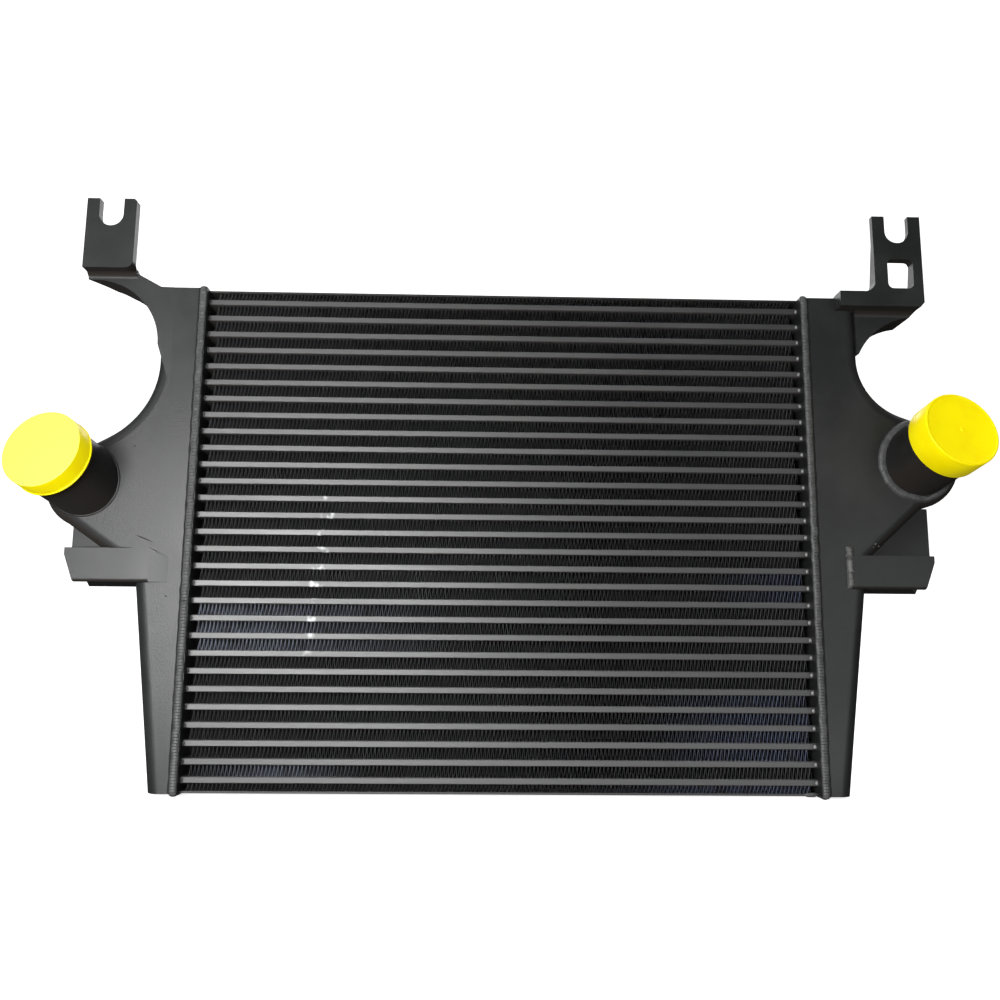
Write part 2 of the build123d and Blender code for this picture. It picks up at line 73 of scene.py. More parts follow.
def sprayed_paint():
    """Node group for black paint: clouds in its colour and sheen, a fine grain, and undersides dulled and
    painted dark brown, a painted shade.
    """
    group = bpy.data.node_groups.new("sprayed_paint", "ShaderNodeTree")
    face = group.interface
    face.new_socket("Colour", in_out="INPUT", socket_type="NodeSocketColor")
    face.new_socket("Dust", in_out="INPUT", socket_type="NodeSocketColor")
    for label in (
        "Dustiness", "Underside shade", "Sheen low", "Sheen high",
        "Cloud scale", "Grain scale", "Along X", "Along Z",
    ):
        face.new_socket(label, in_out="INPUT", socket_type="NodeSocketFloat")
    face.new_socket("Colour", in_out="OUTPUT", socket_type="NodeSocketColor")
    face.new_socket("Roughness", in_out="OUTPUT", socket_type="NodeSocketFloat")
    face.new_socket("Height", in_out="OUTPUT", socket_type="NodeSocketFloat")
    nodes, links = group.nodes, group.links
    given = nodes.new("NodeGroupInput")
    made = nodes.new("NodeGroupOutput")
    place = nodes.new("ShaderNodeTexCoord")
    stretch = nodes.new("ShaderNodeCombineXYZ")
    stretch.inputs["Y"].default_value = 1.0
    links.new(given.outputs["Along X"], stretch.inputs["X"])
    links.new(given.outputs["Along Z"], stretch.inputs["Z"])
    turned = nodes.new("ShaderNodeVectorMath")
    turned.operation = "MULTIPLY"
    links.new(place.outputs["Object"], turned.inputs[0])
    links.new(stretch.outputs["Vector"], turned.inputs[1])
    clouds = nodes.new("ShaderNodeTexNoise")
    clouds.inputs["Detail"].default_value = 5.0
    clouds.inputs["Roughness"].default_value = 0.62
    links.new(turned.outputs["Vector"], clouds.inputs["Vector"])
    links.new(given.outputs["Cloud scale"], clouds.inputs["Scale"])
    grain = nodes.new("ShaderNodeTexNoise")
    grain.inputs["Detail"].default_value = 2.0
    links.new(turned.outputs["Vector"], grain.inputs["Vector"])
    links.new(given.outputs["Grain scale"], grain.inputs["Scale"])
    dusty = nodes.new("ShaderNodeMapRange")
    dusty.inputs["From Min"].default_value = 0.42
    dusty.inputs["From Max"].default_value = 0.75
    links.new(clouds.outputs["Fac"], dusty.inputs["Value"])
    links.new(given.outputs["Dustiness"], dusty.inputs["To Max"])
    tone = nodes.new("ShaderNodeMix")
    tone.data_type = "RGBA"
    links.new(dusty.outputs["Result"], tone.inputs["Factor"])
    links.new(given.outputs["Colour"], tone.inputs["A"])
    links.new(given.outputs["Dust"], tone.inputs["B"])
    sheen = nodes.new("ShaderNodeMapRange")
    sheen.inputs["From Min"].default_value = 0.3
    sheen.inputs["From Max"].default_value = 0.7
    links.new(clouds.outputs["Fac"], sheen.inputs["Value"])
    links.new(given.outputs["Sheen low"], sheen.inputs["To Min"])
    links.new(given.outputs["Sheen high"], sheen.inputs["To Max"])
    facing = nodes.new("ShaderNodeSeparateXYZ")
    links.new(place.outputs["Normal"], facing.inputs["Vector"])
    # Painted shade: faces that point down are darkened to a warm brown and dulled, for shade and warm
    # bounce light.
    under = nodes.new("ShaderNodeMapRange")
    under.inputs["From Min"].default_value = -0.2
    under.inputs["From Max"].default_value = -0.55
    links.new(facing.outputs["Z"], under.inputs["Value"])
    links.new(given.outputs["Underside shade"], under.inputs["To Max"])
    shaded_under = nodes.new("ShaderNodeMix")
    shaded_under.data_type = "RGBA"
    shaded_under.inputs["B"].default_value = (0.012, 0.008, 0.0055, 1.0)
    links.new(under.outputs["Result"], shaded_under.inputs["Factor"])
    links.new(tone.outputs["Result"], shaded_under.inputs["A"])
    dulled = nodes.new("ShaderNodeMix")
    dulled.inputs["B"].default_value = 0.9
    links.new(under.outputs["Result"], dulled.inputs["Factor"])
    links.new(sheen.outputs["Result"], dulled.inputs["A"])
    links.new(shaded_under.outputs["Result"], made.inputs["Colour"])
    links.new(dulled.outputs["Result"], made.inputs["Roughness"])
    links.new(grain.outputs["Fac"], made.inputs["Height"])
    return group


paint_group = sprayed_paint()


def black_paint(
    name, colour, dust, dustiness, sheen, clouds, grain, depth, along=(1.0, 1.0), gloss=0.5, underside_shade=1.0
):
    """A black paint of its own: sheen is its lowest and highest roughness, clouds and grain are the
    scales of its patches and of its skin, depth is the skin's height, and the last argument sets how far
    the undersides are dulled and painted dark brown, a painted shade."""
    paint = bpy.data.materials.new(name)
    paint.use_nodes = True
    nodes, links = paint.node_tree.nodes, paint.node_tree.links
    shader = nodes["Principled BSDF"]
    shader.inputs["Specular IOR Level"].default_value = gloss
    skin = nodes.new("ShaderNodeGroup")
    skin.node_tree = paint_group
    skin.inputs["Colour"].default_value = (*colour, 1.0)
    skin.inputs["Dust"].default_value = (*dust, 1.0)
    skin.inputs["Dustiness"].default_value = dustiness
    skin.inputs["Underside shade"].default_value = underside_shade
    skin.inputs["Sheen low"].default_value = sheen[0]
    skin.inputs["Sheen high"].default_value = sheen[1]
    skin.inputs["Cloud scale"].default_value = clouds
    skin.inputs["Grain scale"].default_value = grain
    skin.inputs["Along X"].default_value = along[0]
    skin.inputs["Along Z"].default_value = along[1]
    bump = nodes.new("ShaderNodeBump")
    bump.inputs["Strength"].default_value = 1.0
    bump.inputs["Distance"].default_value = depth
    links.new(skin.outputs["Colour"], shader.inputs["Base Color"])
    links.new(skin.outputs["Roughness"], shader.inputs["Roughness"])
    links.new(skin.outputs["Height"], bump.inputs["Height"])
    links.new(bump.outputs["Normal"], shader.inputs["Normal"])
    return paint


def wears(material, *node_names):
    """Gives CAD nodes their material."""
    for node_name in node_names:
        solid = frame["nodes"][node_name]
        solid.data.materials.clear()
        solid.data.materials.append(material)


def noise_range(material, scale, low, high, detail=2.0):
    """Adds a noise to a material and spreads the part of it between low and high over 0 to 1."""
    nodes, links = material.node_tree.nodes, material.node_tree.links
    place = nodes.new("ShaderNodeTexCoord")
    cloud = nodes.new("ShaderNodeTexNoise")
    cloud.inputs["Scale"].default_value = scale
    cloud.inputs["Detail"].default_value = detail
    links.new(place.outputs["Object"], cloud.inputs["Vector"])
    spread = nodes.new("ShaderNodeMapRange")
    spread.inputs["From Min"].default_value = low
    spread.inputs["From Max"].default_value = high
    links.new(cloud.outputs["Fac"], spread.inputs["Value"])
    return spread.outputs["Result"]


def tinted(material, mask, colour):
    """Lays a colour over a material's own where the mask is high."""
    nodes, links = material.node_tree.nodes, material.node_tree.links
    base = nodes["Principled BSDF"].inputs["Base Color"]
    layer = nodes.new("ShaderNodeMix")
    layer.data_type = "RGBA"
    layer.inputs["B"].default_value = (*colour, 1.0)
    links.new(mask, layer.inputs["Factor"])
    links.new(base.links[0].from_socket, layer.inputs["A"])
    links.new(layer.outputs["Result"], base)


def within(material, way, middle, reach, blend):
    """A mask in a material: 1 within a reach of a middle along a direction, faded out over a blend."""
    nodes, links = material.node_tree.nodes, material.node_tree.links
    place = nodes.new("ShaderNodeTexCoord")
    along = nodes.new("ShaderNodeVectorMath")
    along.operation = "DOT_PRODUCT"
    along.inputs[1].default_value = way
    links.new(place.outputs["Object"], along.inputs[0])
    off = nodes.new("ShaderNodeMath")
    off.operation = "SUBTRACT"
    off.inputs[1].default_value = middle
    links.new(along.outputs["Value"], off.inputs[0])
    distance = nodes.new("ShaderNodeMath")
    distance.operation = "ABSOLUTE"
    links.new(off.outputs["Value"], distance.inputs[0])
    fade = nodes.new("ShaderNodeMapRange")
    fade.inputs["From Min"].default_value = reach + blend
    fade.inputs["From Max"].default_value = reach
    links.new(distance.outputs["Value"], fade.inputs["Value"])
    return fade.outputs["Result"]


def both(material, first, second):
    """The product of two masks."""
    product = material.node_tree.nodes.new("ShaderNodeMath")
    product.operation = "MULTIPLY"
    material.node_tree.links.new(first, product.inputs[0])
    material.node_tree.links.new(second, product.inputs[1])
    return product.outputs["Value"]


tube_names = sorted(name for name in frame["nodes"] if name.startswith("tube_"))
tube_paint = black_paint(
    "tube_paint", (0.03, 0.031, 0.031), (0.07, 0.07, 0.068), 0.4, (0.44, 0.54), 60.0, 900.0, 0.00006,
    (0.12, 1.0), gloss=1.0,
)
chip_tone = (0.008, 0.008, 0.008)
chips = noise_range(tube_paint, 420.0, 0.7, 0.74)
tinted(tube_paint, chips, chip_tone)
tube_nose = -0.0285
tube_nose_depth = 0.002
# Painted highlight: a slanted band of pale spots on the tubes' fronts stands in for glints of a lamp.
glint_slant = (1.0, 0.0, -0.127)
glint_place = -0.2064
glint_half_width = 0.004
glint_level = 0.21
glint_reach = 0.075
painted_glint_tone = (0.5, 0.51, 0.51)
glint_band = both(
    tube_paint, within(tube_paint, glint_slant, glint_place, glint_half_width, glint_half_width),
    within(tube_paint, (0.0, 0.0, 1.0), glint_level, glint_reach, 0.01),
)
glint_band = both(
    tube_paint, glint_band,
    within(tube_paint, (0.0, 1.0, 0.0), tube_nose, tube_nose_depth, tube_nose_depth),
)
glint_spots = noise_range(tube_paint, 120.0, 0.53, 0.7)
tinted(tube_paint, both(tube_paint, glint_band, glint_spots), painted_glint_tone)
wears(tube_paint, *tube_names)


# --- Fins ----------------------------------------------------------------------------------------
# Thin aluminium strip is folded into waves and lies between the tubes, thirty rows of it, brazed at
# every crest. The front edges of the walls that rise to the right are painted pale, a painted light
# from the left, and on some rows they are painted bluish white, a painted reflection.

fin_names = sorted(name for name in frame["nodes"] if name.startswith("fin_pack_"))
fin_pitch = 0.0037
fin_rise = 0.0025
fin_sheet = 0.00022
fin_crest_half = 0.00030
fin_crest_drop = 0.00018
fin_swing = 0.0039
fin_clearance = 0.00001
fin_sway = 0.0006
fin_front = -0.027
fin_lip_half = 0.0016
fins_in_pack = 3
row_shift = 0.00127
first_tube_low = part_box("tube_01")[0].z
tube_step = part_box("tube_02")[0].z - first_tube_low
tube_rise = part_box("tube_01")[1].z - first_tube_low
sharp_angle = radians(38)
scene = bpy.context.scene


def new_piece(name, bm, material, smooth=True):
    """Makes a finished piece of a bmesh, riding on the cooler, with its sharp edges kept sharp."""
    bmesh.ops.recalc_face_normals(bm, faces=bm.faces)
    for edge in bm.edges:
        edge.smooth = edge.calc_face_angle(0.0) < sharp_angle
    mesh = bpy.data.meshes.new(name)
    bm.to_mesh(mesh)
    bm.free()
    mesh.materials.append(material)
    if smooth:
        mesh.shade_smooth()
    else:
        mesh.shade_flat()
    piece = bpy.data.objects.new(name, mesh)
    scene.collection.objects.link(piece)
    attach(piece, "root")
    return piece


def fin_strip(low, high, start, end, front, back, shift):
    """One row of corrugated strip between two levels, as its own bmesh."""
    strip = bmesh.new()
    bottom, top = low + fin_clearance, high - fin_clearance
    wave = (
        (0.0, bottom), (fin_crest_half, bottom + fin_crest_drop),
        (fin_rise - fin_crest_half, top - fin_crest_drop), (fin_rise, top),
        (fin_rise + fin_crest_half, top - fin_crest_drop),
        (fin_pitch - fin_crest_half, bottom + fin_crest_drop), (fin_pitch, bottom),
    )
    line = [strip.verts.new((start + shift + x, front, z)) for x, z in wave]
    folds = [strip.edges.new(pair) for pair in zip(line, line[1:])]
    for swing in (fin_swing, -fin_swing):
        grown = bmesh.ops.extrude_edge_only(strip, edges=folds)["geom"]
        folds = [e for e in grown if isinstance(e, bmesh.types.BMEdge)]
        far_side = [v for v in grown if isinstance(v, bmesh.types.BMVert)]
        bmesh.ops.translate(strip, verts=far_side, vec=(swing, (back - front) / 2, 0))
    one_wave = strip.verts[:] + strip.edges[:] + strip.faces[:]
    for count in range(1, int((end - start - shift) / fin_pitch)):
        copied = bmesh.ops.duplicate(strip, geom=one_wave)["geom"]
        corners = [v for v in copied if isinstance(v, bmesh.types.BMVert)]
        bmesh.ops.translate(strip, verts=corners, vec=(count * fin_pitch, 0, 0))
    bmesh.ops.remove_doubles(strip, verts=strip.verts, dist=0.00001)
    for corner in strip.verts:
        sway = noise.noise(Vector((corner.co.x * 45, low * 900, corner.co.z * 60)))
        corner.co.x += fin_sway * sway
    bmesh.ops.recalc_face_normals(strip, faces=strip.faces)
    bmesh.ops.solidify(strip, geom=strip.faces, thickness=fin_sheet)
    return strip


def rising_walls(material):
    """A mask in a material: 1 on the walls of a fin that rise to the right, 0 on those that fall."""
    nodes, links = material.node_tree.nodes, material.node_tree.links
    place = nodes.new("ShaderNodeTexCoord")
    parted = nodes.new("ShaderNodeSeparateXYZ")
    links.new(place.outputs["Normal"], parted.inputs["Vector"])
    lean = nodes.new("ShaderNodeMath")
    lean.operation = "MULTIPLY"
    links.new(parted.outputs["X"], lean.inputs[0])
    links.new(parted.outputs["Z"], lean.inputs[1])
    spread = nodes.new("ShaderNodeMapRange")
    spread.inputs["From Min"].default_value = 0.02
    spread.inputs["From Max"].default_value = -0.08
    links.new(lean.outputs["Value"], spread.inputs["Value"])
    return spread.outputs["Result"]


fin_paint = black_paint(
    "fin_paint", (0.009, 0.009, 0.010), (0.016, 0.016, 0.018), 0.6, (0.4, 0.55), 60.0, 1400.0, 0.00002,
    (0.1, 1.0), gloss=0.2,
)
# Painted light: the front edges of the walls that rise to the right are painted pale, as if lit from the
# left.
lit_lip_mask = both(
    fin_paint, within(fin_paint, (0.0, 1.0, 0.0), fin_front, fin_lip_half, fin_lip_half),
    rising_walls(fin_paint),
)
painted_lit_lip_tone = (0.17, 0.172, 0.17)
tinted(fin_paint, lit_lip_mask, painted_lit_lip_tone)
left_painted_glint = (0.74, 0.8, 1.0)
right_painted_glint = (0.22, 0.26, 0.42)
# Painted reflection: on some rows the pale front edges are painted bluish white, for glints of sky and
# lamps.
for fin_glint_x, fin_glint_reach, fin_glint_fade, fin_glint_z, fin_glint_half, glint_tone in (
    (-0.31, 0.1, 0.16, 0.154, 0.0235, left_painted_glint), (-0.21, 0.01, 0.07, 0.0204, 0.0055, left_painted_glint),
    (0.31, 0.03, 0.08, 0.196, 0.0145, right_painted_glint), (0.27, 0.05, 0.09, 0.062, 0.031, right_painted_glint),
    (0.24, 0.06, 0.1, 0.0055, 0.004, right_painted_glint),
):
    fin_glint_rows = within(fin_paint, (0.0, 0.0, 1.0), fin_glint_z, fin_glint_half, 0.001)
    fin_glint = both(fin_paint, within(fin_paint, (1.0, 0.0, 0.0), fin_glint_x, fin_glint_reach, fin_glint_fade), fin_glint_rows)
    patchy_glint = both(fin_paint, fin_glint, noise_range(fin_paint, 90.0, 0.2, 0.5))
    tinted(fin_paint, both(fin_paint, lit_lip_mask, patchy_glint), glint_tone)
for pack, fin_name in enumerate(fin_names):
    pack_low, pack_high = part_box(fin_name)
    strips = bmesh.new()
    for row in range(pack * fins_in_pack, (pack + 1) * fins_in_pack):
        row_low = max(first_tube_low + (row - 1) * tube_step + tube_rise, pack_low.z)
        row_high = min(first_tube_low + row * tube_step, pack_high.z)
        shift = (row * row_shift) % fin_pitch
        strip = fin_strip(row_low, row_high, pack_low.x, pack_high.x, pack_low.y, pack_high.y, shift)
        loose = bpy.data.meshes.new("loose")
        strip.to_mesh(loose)
        strip.free()
        strips.from_mesh(loose)
        bpy.data.meshes.remove(loose)
    fins = new_piece(f"fins_{pack + 1:02d}", strips, fin_paint, smooth=False)
    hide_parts(fin_name)


# --- Side and header plates ----------------------------------------------------------------------
# Flat aluminium plates close the core: one under and one over the fins, and one at each side that
# holds the tube ends. They are sprayed with the rest, and the bottom one's front lip is worn paler.

plate_paint = black_paint(
    "plate_paint", (0.012, 0.0125, 0.013), (0.04, 0.04, 0.04), 0.4, (0.42, 0.52), 35.0, 1100.0, 0.00005
)
plate_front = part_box("bottom_side_plate")[0].y
worn_level = 0.0017
worn_half = 0.0007
worn_tone = (0.05, 0.05, 0.049)
bottom_lip = both(
    plate_paint, within(plate_paint, (0.0, 1.0, 0.0), plate_front, 0.0002, 0.0003),
    within(plate_paint, (0.0, 0.0, 1.0), worn_level, worn_half, 0.0002),
)
tinted(plate_paint, bottom_lip, worn_tone)
wears(plate_paint, "bottom_side_plate", "top_side_plate", "left_header_plate", "right_header_plate")


# --- Rim welds -----------------------------------------------------------------------------------
# A bead of weld, laid by hand in short overlapping pools, joins each header plate to its tank. Beside
# it lies a thin near-black string, painted shade for the undercut where the weld bit into the tank. A
# tack at the lower right corner holds the side plate, and small fillets of braze stand where the tubes
# enter the header plates; the right ones are painted pale, a painted highlight.

rings_in_pool = 4
bead_sides = 8
pool_front = 0.12
pool_start = 0.76
pool_sink = 0.3
pool_bend = 1.4
shortest_pool = 0.001
rim_bead_width = 0.0067
rim_bead_height = 0.0030
rim_pool_length = 0.0027
rim_pool_gain = 0.0010
rim_pool_scatter = 0.0004
rim_sway = 0.0008
rim_lean = 0.0006
rim_unevenness = 0.12
rim_narrowing = 0.06
rim_corner = 0.0016
rim_stop_level = 0.1775
rim_stop_half = 0.0007
rim_stop_share = 0.4
no_stop = 9.0
shade_line_width = 0.0028
shade_line_height = 0.0006
shade_line_gap = 0.0004
weld_paint = black_paint(
    "weld_paint", (0.06, 0.062, 0.062), (0.14, 0.14, 0.14), 0.45, (0.45, 0.56), 120.0, 1600.0, 0.00006,
    underside_shade=0.35,
)
# Near-black paint for thin strings and rods that are painted shade, and for the tank's small marks.
shade_and_mark_paint = black_paint(
    "shade_and_mark_paint", (0.002, 0.002, 0.002), (0.006, 0.006, 0.006), 0.3, (0.7, 0.85), 90.0, 1200.0, 0.00004
)


def ripple(share):
    """Height of a weld pool along its length, from 0 to 1: a steep front and a long, sunken tail."""
    if share > pool_front:
        return 1.0 - pool_sink * share ** pool_bend
    return pool_start + (1.0 - pool_start) * share / pool_front


def pool_stations(total, pitch_at):
    """Lengths along a bead of weld with each ring's share of its pool and the pool's number."""
    length, pool, stations = 0.0, 0, []
    while length < total - shortest_pool:
        pitch = pitch_at(length, pool)
        for step in range(rings_in_pool):
            share = step / rings_in_pool
            stations.append((length + pitch * share, share, pool))
        length += pitch
        pool += 1
    return stations


def lay_bead(rings, joined):
    """Skin of a bead through its rings of corners, joined end to end or closed at both ends."""
    bead = bmesh.new()
    ring = [bead.verts.new(corner) for corner in rings[0]]
    skin = [bead.edges.new((a, b)) for a, b in zip(ring, ring[1:] + ring[:1])]
    first = list(skin)
    for corners in rings[1:]:
        grown = bmesh.ops.extrude_edge_only(bead, edges=skin)["geom"]
        skin = [e for e in grown if isinstance(e, bmesh.types.BMEdge) and e.is_boundary]
        ring = [v for v in grown if isinstance(v, bmesh.types.BMVert)]
        for vertex, corner in zip(ring, corners):
            vertex.co = corner
    if joined:
        bmesh.ops.bridge_loops(bead, edges=skin + first)
    else:
        bmesh.ops.edgeloop_fill(bead, edges=first)
        bmesh.ops.edgeloop_fill(bead, edges=skin)
    return bead


def half_round(place, out, side, width, height, swell, flatness=0.7):
    """Corners of one ring of a bead on a flat joint: a flattened half round closed by its underside."""
    corners = []
    for count in range(bead_sides):
        turn = pi * count / (bead_sides - 1)
        across = -cos(turn) * width / 2
        corners.append(place + side * across + out * (sin(turn) ** flatness * height * swell))
    return corners


def rim_route(y, low, high):
    """Legs round the plate's edge as (length so far, place, outward direction), and their whole length."""
    stops = []
    length = 0.0
    legs = (
        (Vector((0, -y, low + rim_corner)), Vector((0, 0, 1)), high - low - 2 * rim_corner),
        (Vector((0, -y + rim_corner, high)), Vector((0, 1, 0)), 2 * (y - rim_corner)),
        (Vector((0, y, high - rim_corner)), Vector((0, 0, -1)), high - low - 2 * rim_corner),
        (Vector((0, y - rim_corner, low)), Vector((0, -1, 0)), 2 * (y - rim_corner)),
    )
    for start, way, reach in legs:
        out = Vector((0, -way.z, way.y))
        stops.append((length, start, out))
        length += reach
        stops.append((length, start + way * reach, out))
        length += rim_corner * pi / 2
    return stops, length


def on_route(stops, total, length):
    """Place and outward direction at a length along the route, turning evenly at the corners."""
    ahead = stops[1:] + [(total, stops[0][1], stops[0][2])]
    for (near, a, out_a), (far, b, out_b) in zip(stops, ahead):
        if near <= length <= far:
            share = (length - near) / (far - near)
            if out_a == out_b:
                return a.lerp(b, share), out_a
            out = out_a * cos(share * pi / 2) + out_b * sin(share * pi / 2)
            return a - out_a * rim_corner + out * rim_corner, out
    return stops[0][1], stops[0][2]


def rim_rings(middle_x, side, width, height, seed, stop_level):
    """Rings of a bead that laps round a plate's edge, sunken at a level where the welder stopped; its
    pools shorten towards the bottom."""
    plate_low, plate_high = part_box("left_header_plate")
    low, high = plate_low.z, plate_high.z
    stops, total = rim_route(plate_high.y, low, high)

    def pitch_at(length, pool):
        level = (on_route(stops, total, length)[0].z - low) / (high - low)
        scatter = rim_pool_scatter * noise.noise(Vector((pool * 3.1, seed, 0)))
        return rim_pool_length + rim_pool_gain * level + scatter

    rings = []
    for length, share, pool in pool_stations(total, pitch_at):
        place, out = on_route(stops, total, min(length, total))
        sway = rim_sway * noise.noise(Vector((length * 110, seed, 3)))
        uneven = rim_unevenness * abs(noise.noise(Vector((pool * 1.7, seed + 5, 0))))
        swell = ripple(share) * (1 - uneven)
        if place.y < 0 and abs(place.z - stop_level) < rim_stop_half:
            swell *= rim_stop_share
        lean = out.cross(side) * (rim_lean * share)
        middle = place + Vector((middle_x, 0, 0)) + side * sway + lean
        ring_width = width * (1 - rim_narrowing + rim_narrowing * ripple(share))
        rings.append(half_round(middle, out, side, ring_width, height, swell))
    return rings


def pebble(bm, place, half_sizes, turn=0.0):
    """Adds a small closed lump to a bmesh, as half sizes along X, Y and Z, turned in the front view."""
    shape = Matrix.Translation(place) @ Matrix.Rotation(turn, 4, "Y") @ Matrix.Diagonal((*half_sizes, 1.0))
    bmesh.ops.create_icosphere(bm, subdivisions=2, radius=1.0, matrix=shape)


for side_name, way, seed, stop_level in (("left", -1, 1.0, rim_stop_level), ("right", 1, 7.0, no_stop)):
    weld_low, weld_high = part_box(f"{side_name}_rim_weld")
    weld_middle = (weld_low.x + weld_high.x) / 2
    outwards = Vector((way, 0, 0))
    rings = rim_rings(weld_middle, outwards, rim_bead_width, rim_bead_height, seed, stop_level)
    rim = new_piece(f"{side_name}_rim_bead", lay_bead(rings, True), weld_paint)
    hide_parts(f"{side_name}_rim_weld")
    # Painted shade: a thin near-black string beside the bead stands in for the shade in the undercut.
    edge_x = weld_middle + way * (rim_bead_width / 2 + shade_line_gap)
    rings = rim_rings(edge_x, outwards, shade_line_width, shade_line_height, seed + 11, no_stop)
    new_piece(f"{side_name}_undercut_shade_line", lay_bead(rings, True), shade_and_mark_paint)

tack_place = (0.2925, -0.0285, 0.0012)
tack_half_sizes = (0.0072, 0.0022, 0.0022)
tack = bmesh.new()
pebble(tack, tack_place, tack_half_sizes)
new_piece("side_plate_tack", tack, weld_paint)

braze_paint = black_paint(
    "braze_paint", (0.04, 0.04, 0.04), (0.08, 0.08, 0.08), 0.45, (0.4, 0.5), 120.0, 1600.0, 0.00006,
    underside_shade=0.3,
)
painted_braze_highlight = (0.3, 0.3, 0.29)
left_fillet_x = -0.2992
right_fillet_x = 0.2985
fillet_half_sizes = (0.0014, 0.0009, 0.0018)
# Painted highlight: the fillets at the right ends of the tubes are painted pale, as if lit from the left.
tinted(braze_paint, within(braze_paint, (1.0, 0.0, 0.0), 0.3, 0.01, 0.01), painted_braze_highlight)
brazing = bmesh.new()
for tube_name in tube_names:
    tube_low, tube_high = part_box(tube_name)
    for fillet_x in (left_fillet_x, right_fillet_x):
        fillet_place = (fillet_x, tube_low.y, (tube_low.z + tube_high.z) / 2)
        pebble(brazing, fillet_place, fillet_half_sizes)
new_piece("braze_fillets", brazing, braze_paint)


# --- End tanks -----------------------------------------------------------------------------------
# One aluminium casting at each side, hollow, with a round boss for the hose neck and an arm that
# ends in the slotted lug. The cast skin is slightly grainy under the paint, and the left one has
# three small dark marks on its face.

casting_paint = black_paint(
    "casting_paint", (0.014, 0.0148, 0.015), (0.035, 0.037, 0.037), 0.5, (0.4, 0.48), 16.0, 700.0, 0.00012
)
wears(casting_paint, "left_tank", "right_tank")

casting_front = -0.038
scratch_slant = radians(21.6)
marks = bmesh.new()
pebble(marks, (-0.3453, casting_front, 0.2370), (0.0092, 0.0002, 0.0006), scratch_slant)
pebble(marks, (-0.3608, casting_front, 0.3276), (0.0010, 0.0002, 0.0008))
pebble(marks, (-0.3213, casting_front, 0.1822), (0.0011, 0.0002, 0.0007))
new_piece("casting_marks", marks, shade_and_mark_paint)


# --- Hose necks ----------------------------------------------------------------------------------
# A tube of 70 mm with a hose bead near its end is welded into each boss. It is smoother than the
# casting. The weld round its foot is dressed flat on the left and left in ripples on the right.

neck_radius = 0.035
neck_paint = black_paint(
    "neck_paint", (0.006, 0.006, 0.0058), (0.014, 0.014, 0.0125), 0.4, (0.48, 0.58), 30.0, 1500.0, 0.00005
)
wears(neck_paint, "hose_necks")
necks = {mount["name"]: mount for mount in frame["record"]["mounts"] if mount["name"].endswith("hose_neck")}
neck_mount_reach = 0.030
collar_pool_length = 0.0031
probe_height = 0.03
probe_reach = 0.06
open_drop = 0.034
root_sink = 0.0004
toe_sink = 0.0006


def neck_frame(side_name):
    """Foot of a neck on the tank's face, its direction, and two directions across it."""
    mount = necks[f"{side_name}_hose_neck"]
    way = Vector(mount["axis"]).normalized()
    foot = Vector(mount["pos_m"]) - way * neck_mount_reach
    across = way.cross(Vector((0, 0, 1))).normalized()
    return foot, way, across, way.cross(across)


def collar(side_name, width, height, rough):
    """Weld round a neck's foot, laid on the tank wherever its face is, as an even or a rippled bead."""
    foot, way, across, over = neck_frame(side_name)
    skin = bmesh.new()
    skin.from_mesh(frame["nodes"][f"{side_name}_tank"].data)
    tank_skin = BVHTree.FromBMesh(skin)
    skin.free()
    around = 2 * pi * neck_radius
    rings = []
    for length, share, pool in pool_stations(around, lambda length, pool: collar_pool_length):
        turn = 2 * pi * length / around
        radial = across * cos(turn) + over * sin(turn)
        ragged = 1 + rough * noise.noise(Vector((2.2 * cos(turn), 2.2 * sin(turn), pool * 0.4)))
        swell = ragged * (1 - rough + rough * ripple(share))
        start = foot + radial * (neck_radius + width * ragged) + way * probe_height
        landed = tank_skin.ray_cast(start, -way, probe_reach)[0]
        if landed is None:
            landed = start - way * open_drop
        toe = landed - way * toe_sink
        root = foot + radial * (neck_radius - root_sink) + way * (toe - foot).dot(way)
        crown = root + way * (toe_sink + height * swell)
        corner = toe + way * (toe_sink + height * swell)
        corners = []
        for count in range(bead_sides - 1):
            rise = count / (bead_sides - 2)
            corners.append(toe * (1 - rise) ** 2 + corner * 2 * rise * (1 - rise) + crown * rise ** 2)
        rings.append(corners + [root])
    return lay_bead(rings, True)


dressed_weld = collar("left", 0.0014, 0.0014, 0.05)
rippled_weld = collar("right", 0.0058, 0.0042, 0.14)
left_collar = new_piece("left_neck_collar", dressed_weld, neck_paint)
right_collar = new_piece("right_neck_collar", rippled_weld, weld_paint)
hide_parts("neck_welds")
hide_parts("neck_welds")


# --- Neck caps -----------------------------------------------------------------------------------
# Soft yellow plastic caps are pushed over the necks to keep dirt out. The left one has a plain face
# and a thin flange; the right one is longer, with a dished face and the stub of its moulding gate.

cap_steps = 96
cap_face = 0.0656
cap_inner_face = 0.0641
cap_bore = 0.0364
left_cap_line = (
    (0.0, cap_face), (0.0365, cap_face), (0.0371, 0.0655), (0.03745, 0.0652), (0.03755, 0.0646),
    (0.03755, 0.0480), (0.0379, 0.0478), (0.0382, 0.0477), (0.0383, 0.0474), (0.0383, 0.0466),
    (0.0381, 0.0463), (cap_bore, 0.0463), (cap_bore, cap_inner_face), (0.0, cap_inner_face),
)
right_cap_line = (
    (0.0, 0.0654), (0.0015, 0.0654), (0.0018, 0.0652), (0.0019, 0.0649), (0.0345, 0.0649),
    (0.0352, 0.0651), (0.0356, 0.0655), (0.0362, cap_face), (0.0369, 0.0654), (0.0374, 0.0650),
    (0.0376, 0.0644), (0.0376, 0.0389), (0.0374, 0.0386), (cap_bore, 0.0386),
    (cap_bore, cap_inner_face), (0.0, cap_inner_face),
)


